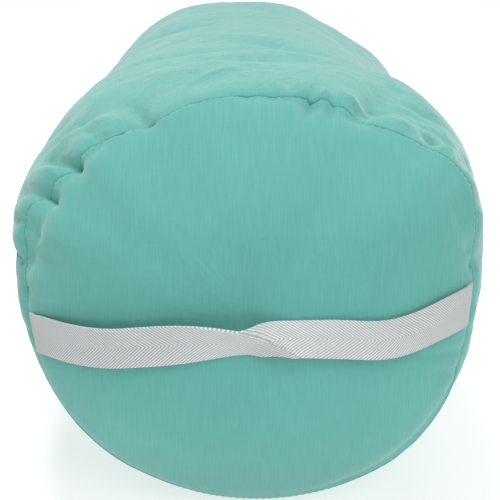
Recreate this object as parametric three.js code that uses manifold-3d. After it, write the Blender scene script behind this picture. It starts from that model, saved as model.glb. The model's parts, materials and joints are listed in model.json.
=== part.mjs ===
// Round yoga and massage bolster with a zipped cotton cover, a webbing handle on one end and a batting fill.
// Millimetres, +Z up. The bolster lies along Y with the handle end at -Y, and the origin is at the centre of
// the flat patch that it rests on.

import * as THREE from "three";
import { mergeVertices } from "three/addons/utils/BufferGeometryUtils.js";
import Module from "manifold-3d";

// ---- Driving dimensions ----------------------------------------------------------------------------------

const CLEARANCE = 0.3; // between pieces that touch on the real bolster
const LAYER_CLEARANCE = 0.8; // between one soft layer and the next

// Cover, as it would be if it were perfectly round
const BELLY_RADIUS = 122; // along the straight middle of the barrel
const SEAM_CURL = 10; // how much smaller round than the barrel the sewn ring at each end is
const BARREL_LENGTH = 580; // from seam to seam
const SHOULDER_LENGTH = 90; // along which the barrel curls in to each seam
const END_CROWN = 44; // how far a stuffed end panel stands out beyond its seam
const CROWN_POWER = 2.2; // 2 is a plain dome, more is a flatter middle
const COVER_WALL = 1;

// How the filled bolster settles under its own weight
const SPREAD = 1.042; // its half width over the round radius
const SLUMP = 0.955; // its half height over the round radius
const SINK = 12; // how far the middle of the bolster sinks when it is laid down
const PATCH_ROUNDING = 3; // how softly the flat patch runs into the round side

// Sewing thread
const THREAD = 0.9; // thickness of a seam's thread line
const TOPSTITCH = 0.6; // thickness of a thread line that lies on the cloth

// Webbing handle across the front end
const WEBBING_WIDTH = 20;
const WEBBING_THICKNESS = 1.5;
const HANDLE_RISE = 52.5; // of the middle of the webbing over its ends
const HANDLE_FULLNESS = 2.4; // power of the webbing's bow
const HANDLE_DROP_LEFT = 17; // of the webbing's left end under the middle of the end panel
const HANDLE_DROP_RIGHT = 3;
const SEWN_END = 13; // length of webbing at each end that stays with the seam

// Zip, along the side of the barrel
const ZIP_ANGLE = 170; // degrees round from +X towards +Z
const ZIP_LENGTH = 380;
const ZIP_SLIT = 8.6; // width of the slit between the cloth's edges
const ZIP_STITCH_OFFSET = 7.4; // of each topstitched line from the middle of the zip
const TAPE_REACH = 15; // of a tape's outer edge from the middle of the zip
const TAPE_THICKNESS = 0.5;
const COIL_WIDTH = 2.4;
const COIL_THICKNESS = 2.5;
const COIL_GAP = 1.2; // between the two coils, for the slider's web
const STOP_LENGTH = 2.5;
const SLIDER_LENGTH = 11;
const SLIDER_PLATE = 0.9;
const SHIELD_CORNER = 0.6; // share of the slider's half length where its rounded end begins
const SLIDER_WEB = 0.6;
const WEB_INSET = 0.8; // from the slider's end to its web
const WEB_LENGTH = 4;
const BRIDGE_WIDTH = 1.2;
const BRIDGE_BAR = 1;
const BRIDGE_HALF = 3.6; // from the middle of the slider to each end of the bridge
const BRIDGE_CORNER = 1.6;
const HINGE_PLAY = 0.5; // over and under the pull where it turns on the bridge
const PULL_LENGTH = 26; // from its hinge line
const PULL_WIDTH = 6;
const PULL_THICKNESS = 1.2;
const PULL_EYE = 5.5; // length of the window that the bridge passes through
const PULL_EYE_SIDE = 1.1; // width of the metal at each side of that window
const PULL_NECK_HALF = 2.25; // half width beside that window
const PULL_NECK = 1; // length of full neck beyond that window
const PULL_TAPER = 3; // length along which the neck widens to the pull
const PULL_HOLE_RADIUS = 1.35;
const PULL_HOLE_INSET = 0.4; // of the hole from the middle of the pull's round end
const PULL_HOLE_SIDES = 12;

// Liner bag and batting
const LINER_WALL = 0.8;
const LINER_ZIP_DENT = 2.4; // how far the liner is pressed in behind the zip
const LINER_DENT_SPREAD = 18; // degrees to each side of the zip
const WRAP_THICKNESS = 16;

// Fineness of the round pieces
const SIDES = 40;
const SHOULDER_STEPS = 7;
const CROWN_STEPS = 5;
const HANDLE_STEPS = 28;

// ---- Sizes that follow -----------------------------------------------------------------------------------

const SEAM_RADIUS = BELLY_RADIUS - SEAM_CURL;
const AXIS_HEIGHT = BELLY_RADIUS - SINK; // of the middle of the bolster above the floor
const HALF_BARREL = BARREL_LENGTH / 2;
const STRAIGHT_HALF = HALF_BARREL - SHOULDER_LENGTH;
const SEAM_GAP = THREAD / 2 + CLEARANCE; // from the seam plane to each panel's edge
const LINER_DEPTH = COVER_WALL + LAYER_CLEARANCE;
const WRAP_DEPTH = LINER_DEPTH + LINER_WALL + LAYER_CLEARANCE;
const CORE_DEPTH = WRAP_DEPTH + WRAP_THICKNESS + LAYER_CLEARANCE;
const COIL_TOP = CLEARANCE; // height of the coils over the cloth
const COIL_BOTTOM = COIL_TOP - COIL_THICKNESS;
const COIL_OUTER = COIL_GAP / 2 + COIL_WIDTH;
const ZIP_RADIANS = THREE.MathUtils.degToRad(ZIP_ANGLE);

// ---- Solids: closed meshes as manifold-3d solids, and back -------------------------------------------------

const wasm = await Module();
wasm.setup();

function solidOf(geometry) {
  const bare = geometry.index ? geometry.toNonIndexed() : geometry.clone();
  for (const name of Object.keys(bare.attributes)) {
    if (name !== "position") {
      bare.deleteAttribute(name);
    }
  }
  const merged = mergeVertices(bare, 1e-4);
  const mesh = new wasm.Mesh({
    numProp: 3,
    vertProperties: merged.attributes.position.array,
    triVerts: new Uint32Array(merged.index.array),
  });
  return new wasm.Manifold(mesh);
}

function geometryOf(solid) {
  const mesh = solid.getMesh();
  const geometry = new THREE.BufferGeometry();
  geometry.setAttribute("position", new THREE.BufferAttribute(mesh.vertProperties, 3));
  geometry.setIndex(new THREE.BufferAttribute(mesh.triVerts, 1));
  const flat = geometry.toNonIndexed();
  flat.computeVertexNormals();
  return flat;
}

function joined(...geometries) {
  return geometryOf(geometries.map(solidOf).reduce((sum, solid) => sum.add(solid)));
}

function common(a, b) {
  return geometryOf(solidOf(a).intersect(solidOf(b)));
}

function cut(a, ...tools) {
  return geometryOf(tools.map(solidOf).reduce((rest, tool) => rest.subtract(tool), solidOf(a)));
}

function boxBetween(low, high) {
  const size = new THREE.Vector3().subVectors(high, low);
  const box = new THREE.BoxGeometry(size.x, size.y, size.z);
  return box.translate(low.x + size.x / 2, low.y + size.y / 2, low.z + size.z / 2);
}

// ---- The settled shape -------------------------------------------------------------------------------------

// Round radius of the cover's outside at y, and of a layer that lies depth inside it.
function roundRadius(y, depth = 0) {
  const seamAt = HALF_BARREL - depth;
  const along = (Math.abs(y) - STRAIGHT_HALF) / (seamAt - STRAIGHT_HALF);
  const curl = THREE.MathUtils.clamp(along, 0, 1);
  return SEAM_RADIUS - depth + (BELLY_RADIUS - SEAM_RADIUS) * Math.sqrt(1 - curl * curl);
}

// How far out from the seam plane the end panel stands at a share of the seam's radius.
function crownAt(share) {
  return END_CROWN * (1 - Math.min(share, 1) ** CROWN_POWER);
}

// The smaller of two lengths, rounded where they are nearly equal.
function softMinimum(a, b, rounding) {
  const near = Math.max(rounding - Math.abs(a - b), 0) / rounding;
  return Math.min(a, b) - (near * near * rounding) / 4;
}

// How much longer than round the settled radius is in a direction.
function settledShare(angle, y) {
  const round = roundRadius(Math.min(Math.abs(y), HALF_BARREL));
  const oval = round / Math.hypot(Math.cos(angle) / SPREAD, Math.sin(angle) / SLUMP);
  if (Math.sin(angle) >= 0) {
    return oval / round;
  }
  return softMinimum(oval, AXIS_HEIGHT / -Math.sin(angle), PATCH_ROUNDING) / round;
}

function settledPoint(radius, angle, y) {
  const reach = radius * settledShare(angle, y);
  return new THREE.Vector3(reach * Math.cos(angle), y, AXIS_HEIGHT + reach * Math.sin(angle));
}

// Turns a round shape about the Y axis into the settled one.
// dent(angle) is how far its surface is pressed in there.
function settle(geometry, dent = () => 0) {
  const places = geometry.getAttribute("position");
  for (let i = 0; i < places.count; i += 1) {
    const x = places.getX(i);
    const z = places.getZ(i);
    const angle = Math.atan2(z, x);
    const radius = Math.hypot(x, z) * (1 - dent(angle) / BELLY_RADIUS);
    const place = settledPoint(radius, angle, places.getY(i));
    places.setXYZ(i, place.x, place.y, place.z);
  }
  return geometry;
}

// A ring or a cap turned about Y. The profile holds [radius, y] pairs, anticlockwise seen with y up.
function turned(profile, closed) {
  const points = profile.map(([radius, y]) => new THREE.Vector2(radius, y));
  if (closed) {
    points.push(points[0].clone());
  }
  return new THREE.LatheGeometry(points, SIDES);
}

function behindZip(angle) {
  const turn = THREE.MathUtils.radToDeg(Math.abs(Math.atan2(
    Math.sin(angle - ZIP_RADIANS),
    Math.cos(angle - ZIP_RADIANS),
  )));
  return turn < LINER_DENT_SPREAD
    ? LINER_ZIP_DENT * Math.cos((turn / LINER_DENT_SPREAD) * (Math.PI / 2)) ** 0.5
    : 0;
}

// ---- Barrel, end panels and their layers --------------------------------------------------------------------

// Stations along the barrel, close together at the shoulders, up to an edge short of the seam.
function barrelStations(edge) {
  const half = [STRAIGHT_HALF];
  for (let i = 1; i <= SHOULDER_STEPS; i += 1) {
    half.push(STRAIGHT_HALF + (edge - STRAIGHT_HALF) * Math.sin((i / SHOULDER_STEPS) * (Math.PI / 2)));
  }
  return [...half.map((y) => -y).reverse(), ...half];
}

// A sleeve whose outside lies depth inside the cover's outside.
function sleeve(depth, wall, edgeGap) {
  const stations = barrelStations(HALF_BARREL - depth - edgeGap);
  const outside = stations.map((y) => [roundRadius(y, depth), y]);
  const inside = stations.map((y) => [roundRadius(y, depth) - wall, y]).reverse();
  return turned([...outside, ...inside], true);
}

// A crowned round panel at the +Y end, depth inside the cover's outside. Its wall narrows to the rim.
function crownedPanel(depth, wall, edgeGap) {
  const radius = SEAM_RADIUS - depth;
  const base = HALF_BARREL - depth + edgeGap;
  const outside = [];
  const inside = [];
  for (let i = 0; i <= CROWN_STEPS; i += 1) {
    const share = i === CROWN_STEPS ? 0 : Math.cos((i / CROWN_STEPS) * (Math.PI / 2));
    outside.push([radius * share, base + crownAt(share)]);
    inside.unshift([(radius - wall) * share, base + crownAt(share) * (1 - wall / END_CROWN)]);
  }
  return turned([...inside, ...outside], false);
}

// A thin ring of thread at the +Y seam, depth inside the cover's outside.
function seamThread(depth) {
  const middle = SEAM_RADIUS - depth - COVER_WALL / 2;
  const at = HALF_BARREL - depth;
  const r = THREAD / 2;
  return turned([[middle + r, at], [middle, at + r], [middle - r, at], [middle, at - r]], true);
}

// The same shape at the -Y end.
function atFront(geometry) {
  return geometry.clone().rotateX(Math.PI);
}

// ---- Zip: its own frame has x across the tapes, y along the bolster and z out of the cloth --------------------

function zipFrame() {
  const step = 1e-3;
  const at = settledPoint(BELLY_RADIUS, ZIP_RADIANS, 0);
  const next = settledPoint(BELLY_RADIUS, ZIP_RADIANS - step, 0);
  const across = next.sub(at).normalize();
  const along = new THREE.Vector3(0, 1, 0);
  const out = new THREE.Vector3().crossVectors(across, along).normalize();
  return new THREE.Matrix4().makeBasis(across, along, out).setPosition(at);
}

const ZIP_FRAME = zipFrame();
const ZIP_START = -ZIP_LENGTH / 2; // the closed end, towards the handle
const ZIP_END = ZIP_LENGTH / 2;
const SLIDER_REST = ZIP_START + STOP_LENGTH + CLEARANCE + SLIDER_LENGTH / 2;

function zipBox(x0, x1, y0, y1, z0, z1) {
  return boxBetween(new THREE.Vector3(x0, y0, z0), new THREE.Vector3(x1, y1, z1)).applyMatrix4(ZIP_FRAME);
}

// A strip of a settled layer, between two distances across the zip and two places along it.
function zipStrip(top, thickness, x0, x1, y0, y1) {
  const edge = Math.max(Math.abs(y0), Math.abs(y1)) + 1;
  const stations = barrelStations(HALF_BARREL - SEAM_GAP).filter((y) => Math.abs(y) < edge);
  const all = [-edge, ...stations, edge];
  const outside = all.map((y) => [roundRadius(y) + top, y]);
  const inside = all.map((y) => [roundRadius(y) + top - thickness, y]).reverse();
  const layer = settle(turned([...outside, ...inside], true));
  return common(layer, zipBox(x0, x1, y0, y1, -TAPE_REACH, TAPE_REACH));
}

function zipTape(side) {
  const near = side * (COIL_OUTER + CLEARANCE);
  const far = side * TAPE_REACH;
  const top = -COVER_WALL - CLEARANCE;
  return zipStrip(top, TAPE_THICKNESS, Math.min(near, far), Math.max(near, far), ZIP_START, ZIP_END);
}

function zipCoil(side) {
  const near = (side * COIL_GAP) / 2;
  const far = side * COIL_OUTER;
  const start = ZIP_START + STOP_LENGTH + CLEARANCE;
  const end = ZIP_END - STOP_LENGTH - CLEARANCE;
  return zipBox(Math.min(near, far), Math.max(near, far), start, end, COIL_BOTTOM, COIL_TOP);
}

function zipStop(from) {
  return zipBox(-COIL_OUTER, COIL_OUTER, from, from + STOP_LENGTH, COIL_BOTTOM, COIL_TOP);
}

function zipStitch(side) {
  const middle = side * ZIP_STITCH_OFFSET;
  const half = TOPSTITCH / 2;
  return zipStrip(CLEARANCE + TOPSTITCH, TOPSTITCH, middle - half, middle + half, ZIP_START, ZIP_END);
}

// The thread that closes the barrel between a zip end and the seam.
function closingThread(side) {
  const near = side * (ZIP_END + THREAD);
  const far = side * (HALF_BARREL - SEAM_GAP - THREAD);
  const half = TOPSTITCH / 2;
  return zipStrip(CLEARANCE + TOPSTITCH, TOPSTITCH, -half, half, Math.min(near, far), Math.max(near, far));
}

// Plate of the slider: a rounded shield, narrower at the end that faces the closed coils.
function sliderPlate(bottom) {
  const wide = COIL_OUTER + CLEARANCE * 2;
  const narrow = COIL_OUTER;
  const half = SLIDER_LENGTH / 2;
  const shape = new THREE.Shape();
  const corner = half * (1 - SHIELD_CORNER);
  shape.moveTo(-wide, -corner);
  shape.quadraticCurveTo(-wide, -half, 0, -half);
  shape.quadraticCurveTo(wide, -half, wide, -corner);
  shape.lineTo(narrow, half);
  shape.lineTo(-narrow, half);
  shape.closePath();
  const plate = new THREE.ExtrudeGeometry(shape, { depth: SLIDER_PLATE, bevelEnabled: false, curveSegments: 5 });
  return plate.translate(0, 0, bottom);
}

const PLATE_TOP = COIL_TOP + CLEARANCE + SLIDER_PLATE;
const HINGE_HEIGHT = PLATE_TOP + HINGE_PLAY + PULL_THICKNESS / 2;
const BRIDGE_TOP = HINGE_HEIGHT + PULL_THICKNESS / 2 + HINGE_PLAY + BRIDGE_BAR;

// The bridge stands on the top plate and carries the pull.
function sliderBridge() {
  const half = BRIDGE_HALF;
  const foot = PLATE_TOP - SLIDER_PLATE / 2;
  const underside = BRIDGE_TOP - BRIDGE_BAR;
  const shape = new THREE.Shape();
  shape.moveTo(-half, foot);
  shape.lineTo(-half, underside);
  shape.quadraticCurveTo(-half, BRIDGE_TOP, -half + BRIDGE_CORNER, BRIDGE_TOP);
  shape.lineTo(half - BRIDGE_CORNER, BRIDGE_TOP);
  shape.quadraticCurveTo(half, BRIDGE_TOP, half, underside);
  shape.lineTo(half, foot);
  shape.lineTo(half - BRIDGE_BAR, foot);
  shape.lineTo(half - BRIDGE_BAR, underside);
  shape.lineTo(-half + BRIDGE_BAR, underside);
  shape.lineTo(-half + BRIDGE_BAR, foot);
  shape.closePath();
  const side = new THREE.ExtrudeGeometry(shape, { depth: BRIDGE_WIDTH, bevelEnabled: false, curveSegments: 4 });
  side.translate(0, 0, -BRIDGE_WIDTH / 2);
  const upright = new THREE.Matrix4().makeBasis(
    new THREE.Vector3(0, 1, 0),
    new THREE.Vector3(0, 0, 1),
    new THREE.Vector3(1, 0, 0),
  );
  return side.applyMatrix4(upright);
}

function zipSlider() {
  const under = COIL_BOTTOM - CLEARANCE;
  const webStart = WEB_INSET - SLIDER_LENGTH / 2;
  const web = boxBetween(
    new THREE.Vector3(-SLIDER_WEB / 2, webStart, under - SLIDER_PLATE / 2),
    new THREE.Vector3(SLIDER_WEB / 2, webStart + WEB_LENGTH, COIL_TOP + CLEARANCE + SLIDER_PLATE / 2),
  );
  return joined(
    sliderPlate(COIL_TOP + CLEARANCE),
    sliderPlate(under - SLIDER_PLATE),
    web,
    sliderBridge(),
  );
}

function roundHole(y, radius) {
  const last = PULL_HOLE_SIDES - 1;
  const lastTurn = (2 * Math.PI * last) / PULL_HOLE_SIDES;
  const rim = new THREE.EllipseCurve(0, y, radius, radius, 0, lastTurn, false);
  return new THREE.Path(rim.getPoints(last));
}

// The pull lies along the zip from its hinge line towards -Y.
function zipPull() {
  const half = PULL_WIDTH / 2;
  const bar = PULL_THICKNESS / 2;
  const outline = new THREE.Shape();
  const neckEnd = -PULL_EYE - PULL_NECK;
  outline.moveTo(-PULL_NECK_HALF, bar);
  outline.lineTo(PULL_NECK_HALF, bar);
  outline.lineTo(PULL_NECK_HALF, neckEnd);
  outline.lineTo(half, neckEnd - PULL_TAPER);
  outline.lineTo(half, -PULL_LENGTH + half);
  outline.absarc(0, -PULL_LENGTH + half, half, 0, -Math.PI, true);
  outline.lineTo(-half, neckEnd - PULL_TAPER);
  outline.lineTo(-PULL_NECK_HALF, neckEnd);
  outline.closePath();
  const eye = PULL_NECK_HALF - PULL_EYE_SIDE;
  const hole = new THREE.Path();
  hole.moveTo(-eye, -bar);
  hole.lineTo(-eye, -PULL_EYE);
  hole.lineTo(eye, -PULL_EYE);
  hole.lineTo(eye, -bar);
  hole.closePath();
  outline.holes.push(hole);
  outline.holes.push(roundHole(-PULL_LENGTH + half + PULL_HOLE_INSET, PULL_HOLE_RADIUS));
  const pull = new THREE.ExtrudeGeometry(outline, { depth: PULL_THICKNESS, bevelEnabled: false, curveSegments: 8 });
  return pull.translate(0, 0, -PULL_THICKNESS / 2);
}

function barrelPanel() {
  const slit = zipBox(-ZIP_SLIT / 2, ZIP_SLIT / 2, ZIP_START, ZIP_END, -TAPE_REACH, TAPE_REACH);
  return cut(settle(sleeve(0, COVER_WALL, SEAM_GAP)), slit);
}

// ---- Handle: its own frame has x along the line through its sewn ends and y out of the end panel --------------

const HANDLE_HALF = SEAM_RADIUS * SPREAD;
const HANDLE_SPLIT = HANDLE_HALF - SEWN_END;

// Middle of the webbing's back face, out from the seam plane.
function handleBow(x) {
  const share = Math.min(Math.abs(x) / HANDLE_HALF, 1);
  return SEAM_GAP + CLEARANCE + HANDLE_RISE * (1 - share ** HANDLE_FULLNESS);
}

function handleOutline() {
  const back = [];
  const face = [];
  for (let i = 0; i <= HANDLE_STEPS; i += 1) {
    const x = HANDLE_HALF * Math.sin(((i / HANDLE_STEPS) * 2 - 1) * (Math.PI / 2));
    const slope = (handleBow(x + 0.01) - handleBow(x - 0.01)) / 0.02;
    const length = Math.hypot(1, slope);
    back.push(new THREE.Vector2(x, handleBow(x)));
    face.push(new THREE.Vector2(
      x - (slope / length) * WEBBING_THICKNESS,
      handleBow(x) + WEBBING_THICKNESS / length,
    ));
  }
  return new THREE.Shape([...back, ...face.reverse()]);
}

function handleFrame() {
  const tilt = Math.atan2(HANDLE_DROP_LEFT - HANDLE_DROP_RIGHT, 2 * HANDLE_HALF);
  const along = new THREE.Vector3(Math.cos(tilt), 0, Math.sin(tilt));
  const out = new THREE.Vector3(0, -1, 0);
  const across = new THREE.Vector3().crossVectors(along, out);
  const drop = (HANDLE_DROP_LEFT + HANDLE_DROP_RIGHT) / 2;
  const middle = new THREE.Vector3(0, -HALF_BARREL, AXIS_HEIGHT - drop);
  return new THREE.Matrix4().makeBasis(along, out, across).setPosition(middle);
}

// The stretch of webbing between two places along the handle.
function webbing(from, to) {
  const whole = new THREE.ExtrudeGeometry(handleOutline(), { depth: WEBBING_WIDTH, bevelEnabled: false });
  whole.translate(0, 0, -WEBBING_WIDTH / 2);
  const reach = 2 * (HANDLE_RISE + END_CROWN);
  const stretch = boxBetween(new THREE.Vector3(from, -reach, -reach), new THREE.Vector3(to, reach, reach));
  return common(whole, stretch).applyMatrix4(handleFrame());
}

// A sewn end stops at the seam ring.
function sewnEnd(from, to) {
  const inSeam = SEAM_RADIUS - CLEARANCE;
  const reach = HALF_BARREL + 2 * (HANDLE_RISE + END_CROWN);
  const ring = settle(turned([[0, -reach], [inSeam, -reach], [inSeam, reach], [0, reach]], false));
  return common(webbing(from, to), ring);
}

// ---- Fill -----------------------------------------------------------------------------------------------------

// The wrap is a sleeve of batting whose ends follow the crown of the liner's discs.
function battingWrap() {
  const radius = SEAM_RADIUS - WRAP_DEPTH;
  const core = SEAM_RADIUS - CORE_DEPTH + LAYER_CLEARANCE;
  const base = HALF_BARREL - WRAP_DEPTH;
  const stations = barrelStations(base - CLEARANCE);
  const outside = stations.map((y) => [roundRadius(y, WRAP_DEPTH), y]);
  const end = [1, 2].map((i) => {
    const share = 1 - (i / 2) * (1 - core / radius);
    return [radius * share, base + crownAt(share)];
  });
  const inside = stations.map((y) => [roundRadius(y, WRAP_DEPTH) - WRAP_THICKNESS, y]).reverse();
  const farEnd = end.map(([r, y]) => [r, -y]).reverse();
  return turned([...outside, ...end, ...inside, ...farEnd], true);
}

// The core is the tight middle of the roll, from crown to crown.
function battingCore() {
  const radius = SEAM_RADIUS - WRAP_DEPTH;
  const core = SEAM_RADIUS - CORE_DEPTH;
  const base = HALF_BARREL - WRAP_DEPTH;
  const steps = CROWN_STEPS - 1;
  const end = [];
  for (let i = 0; i <= steps; i += 1) {
    const share = (core / radius) * Math.cos((i / steps) * (Math.PI / 2));
    end.push([i === steps ? 0 : radius * share, base + crownAt(share)]);
  }
  const stations = barrelStations(base - CLEARANCE);
  const outside = stations.map((y) => [roundRadius(y, WRAP_DEPTH) - WRAP_THICKNESS - LAYER_CLEARANCE, y]);
  const farEnd = end.map(([r, y]) => [r, -y]).reverse();
  return turned([...farEnd, ...outside, ...end], false);
}

// ---- Materials ------------------------------------------------------------------------------------------------

function finish(color, roughness, metalness = 0) {
  return () => new THREE.MeshStandardMaterial({ color, roughness, metalness });
}

const coverCotton = finish(0x7fc2ba, 0.92);
const coverThread = finish(0x6fb3ab, 0.8);
const whiteWebbing = finish(0xd9dcdc, 0.85);
const zipTapeCloth = finish(0x6fb3ab, 0.85);
const zipNylon = finish(0x79b9b1, 0.5);
const zipMetal = finish(0xb9bcbf, 0.35, 1);
const linerCotton = finish(0xece6d8, 0.95);
const batting = finish(0xf3efe4, 1);

// ---- Assembly ---------------------------------------------------------------------------------------------------

const bolster = new THREE.Group();

function addTo(group, name, geometry, material) {
  const mesh = new THREE.Mesh(geometry, material());
  mesh.name = name;
  group.add(mesh);
  return mesh;
}

function addCover() {
  addTo(bolster, "barrel_panel", barrelPanel(), coverCotton);
  const panel = crownedPanel(0, COVER_WALL, SEAM_GAP);
  addTo(bolster, "front_end_panel", settle(atFront(panel)), coverCotton);
  addTo(bolster, "rear_end_panel", settle(panel), coverCotton);
  addTo(bolster, "front_seam_thread", settle(atFront(seamThread(0))), coverThread);
  addTo(bolster, "rear_seam_thread", settle(seamThread(0)), coverThread);
  addTo(bolster, "barrel_closing_thread_front", closingThread(-1), coverThread);
  addTo(bolster, "barrel_closing_thread_rear", closingThread(1), coverThread);
}

function addHandle() {
  const gap = CLEARANCE / 2;
  addTo(bolster, "handle_end_left", sewnEnd(-HANDLE_HALF, -HANDLE_SPLIT - gap), whiteWebbing);
  addTo(bolster, "handle_strap", webbing(-HANDLE_SPLIT + gap, HANDLE_SPLIT - gap), whiteWebbing);
  addTo(bolster, "handle_end_right", sewnEnd(HANDLE_SPLIT + gap, HANDLE_HALF), whiteWebbing);
}

function addZip() {
  for (const [side, label] of [[-1, "lower"], [1, "upper"]]) {
    addTo(bolster, "zip_tape_" + label, zipTape(side), zipTapeCloth);
    addTo(bolster, "zip_coil_" + label, zipCoil(side), zipNylon);
    addTo(bolster, "zip_stitch_" + label, zipStitch(side), coverThread);
  }
  addTo(bolster, "zip_stop_front", zipStop(ZIP_START), zipMetal);
  addTo(bolster, "zip_stop_rear", zipStop(ZIP_END - STOP_LENGTH), zipMetal);
  const slider = new THREE.Group();
  slider.applyMatrix4(ZIP_FRAME);
  slider.translateY(SLIDER_REST);
  bolster.add(slider);
  addTo(slider, "zip_slider", zipSlider(), zipMetal);
  addTo(slider, "zip_pull", zipPull(), zipMetal).position.z = HINGE_HEIGHT;
}

function addFill() {
  addTo(bolster, "liner_barrel", settle(sleeve(LINER_DEPTH, LINER_WALL, SEAM_GAP), behindZip), linerCotton);
  const disc = crownedPanel(LINER_DEPTH, LINER_WALL, SEAM_GAP);
  addTo(bolster, "liner_front_disc", settle(atFront(disc), behindZip), linerCotton);
  addTo(bolster, "liner_rear_disc", settle(disc, behindZip), linerCotton);
  const thread = seamThread(LINER_DEPTH);
  addTo(bolster, "liner_front_thread", settle(atFront(thread), behindZip), linerCotton);
  addTo(bolster, "liner_rear_thread", settle(thread, behindZip), linerCotton);
  addTo(bolster, "batting_wrap", settle(battingWrap(), behindZip), batting);
  addTo(bolster, "batting_core", settle(battingCore(), behindZip), batting);
}

addCover();
addHandle();
addZip();
addFill();

export default bolster;
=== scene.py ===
"""Round cotton bolster with a webbing handle: its cloth, stitching, zip, fill and studio."""

import json
import math
import random

import bmesh
import bpy
import numpy as np
from bpy.props import FloatProperty, FloatVectorProperty, IntProperty, PointerProperty
from bpy.types import Operator, Panel, PropertyGroup
from mathutils import Matrix, Vector, noise
from mathutils.bvhtree import BVHTree


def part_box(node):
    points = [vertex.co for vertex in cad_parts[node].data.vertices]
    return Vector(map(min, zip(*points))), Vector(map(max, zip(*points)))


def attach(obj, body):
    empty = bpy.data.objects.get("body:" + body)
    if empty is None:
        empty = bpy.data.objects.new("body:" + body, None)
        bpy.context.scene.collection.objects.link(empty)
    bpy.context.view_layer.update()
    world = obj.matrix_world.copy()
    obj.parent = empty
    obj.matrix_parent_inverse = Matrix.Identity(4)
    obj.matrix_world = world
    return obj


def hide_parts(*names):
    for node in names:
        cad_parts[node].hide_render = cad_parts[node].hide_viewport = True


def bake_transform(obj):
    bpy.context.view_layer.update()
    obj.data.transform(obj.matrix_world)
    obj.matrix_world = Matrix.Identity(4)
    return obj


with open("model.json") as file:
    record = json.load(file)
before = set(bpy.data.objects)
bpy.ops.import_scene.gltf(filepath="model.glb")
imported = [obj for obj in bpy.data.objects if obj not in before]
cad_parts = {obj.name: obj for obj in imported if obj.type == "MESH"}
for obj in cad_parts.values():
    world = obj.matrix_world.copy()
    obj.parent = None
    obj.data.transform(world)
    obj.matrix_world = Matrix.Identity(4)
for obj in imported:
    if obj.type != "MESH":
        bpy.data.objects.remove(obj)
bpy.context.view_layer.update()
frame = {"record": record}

bl_info = {
    "name": "Round bolster",
    "version": (1, 0, 0),
    "blender": (4, 5, 0),
    "location": "3D View > Sidebar > Bolster",
    "description": "Builds the cover, handle, zip, fill and studio of a round cotton bolster",
    "category": "Object",
}

# ---- Places that the frame gives ---------------------------------------------------------------------------

MM = 0.001
SEAM_GAP = 0.75 * MM  # from the seam to the edge of each cloth panel
BODY = "bolster"

panel_low, panel_high = (Vector(corner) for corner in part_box("front_end_panel"))
barrel_low, barrel_high = (Vector(corner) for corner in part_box("barrel_panel"))
JOINTS = {joint["name"]: joint for joint in frame["record"]["behaviour"]["joints"]}

AXIS = (panel_low.z + panel_high.z) / 2  # height of the middle of the bolster
HALF_BARREL = barrel_high.y + SEAM_GAP
CROWN = panel_high.y - panel_low.y
SEAM_WIDE = panel_high.x
SEAM_HIGH = panel_high.z - AXIS
BELLY_WIDE = barrel_high.x
BELLY_HIGH = barrel_high.z - AXIS
SHOULDER = 90 * MM  # length over which the barrel curls in to a seam
CROWN_POWER = 2.6

ZIP_OUT = Vector(JOINTS["zip_pull_swing"]["axis"]).cross(Vector((0, -1, 0))).normalized()
ZIP_ACROSS = -Vector(JOINTS["zip_pull_swing"]["axis"]).normalized()
HINGE_HEIGHT = 2.6 * MM  # of the pull's hinge line over the cloth
ZIP_AT = Vector(JOINTS["zip_pull_swing"]["pos_m"]) - HINGE_HEIGHT * ZIP_OUT
ZIP_AT.y = 0
ZIP_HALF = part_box("zip_tape_upper")[1][1]
ZIP_SLIT = 4.3 * MM  # from the middle of the zip to the folded edge of the cloth
ZIP_ANGLE = math.atan2((ZIP_AT.z - AXIS) / BELLY_HIGH, ZIP_AT.x / BELLY_WIDE)

HANDLE_MIDDLE = Vector(JOINTS["handle_swing"]["pos_m"])
HANDLE_ALONG = -Vector(JOINTS["handle_swing"]["axis"]).normalized()
HANDLE_UP = HANDLE_ALONG.cross(Vector((0, 1, 0))).normalized()
HANDLE_OUT = Vector((0, -1, 0))
STRAP_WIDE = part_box("handle_end_right")[1][0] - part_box("handle_end_left")[0][0]

# ---- Shader sockets in plain arithmetic --------------------------------------------------------------------


class Value:
    """A shader socket that adds Math nodes as it is used in an expression."""

    def __init__(self, shader, socket):
        self.shader = shader
        self.socket = socket

    def _math(self, operation, *inputs):
        return self.shader.node("ShaderNodeMath", {"operation": operation}, *inputs)

    def __add__(self, other):
        return self._math("ADD", self, other)

    def __radd__(self, other):
        return self._math("ADD", other, self)

    def __sub__(self, other):
        return self._math("SUBTRACT", self, other)

    def __rsub__(self, other):
        return self._math("SUBTRACT", other, self)

    def __mul__(self, other):
        return self._math("MULTIPLY", self, other)

    def __rmul__(self, other):
        return self._math("MULTIPLY", other, self)

    def absolute(self):
        return self._math("ABSOLUTE", self)

    def sine(self):
        return self._math("SINE", self)

    def wave(self, pitch):
        """A wave from 0 to 1 that repeats at each pitch."""
        return (self * (2 * math.pi / pitch)).sine() * 0.5 + 0.5

    def between(self, low, high):
        """0 under low, 1 over high and smooth in between."""
        settings = {"interpolation_type": "SMOOTHSTEP"}
        return self.shader.node("ShaderNodeMapRange", settings, self, low, high, 0.0, 1.0)


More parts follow.
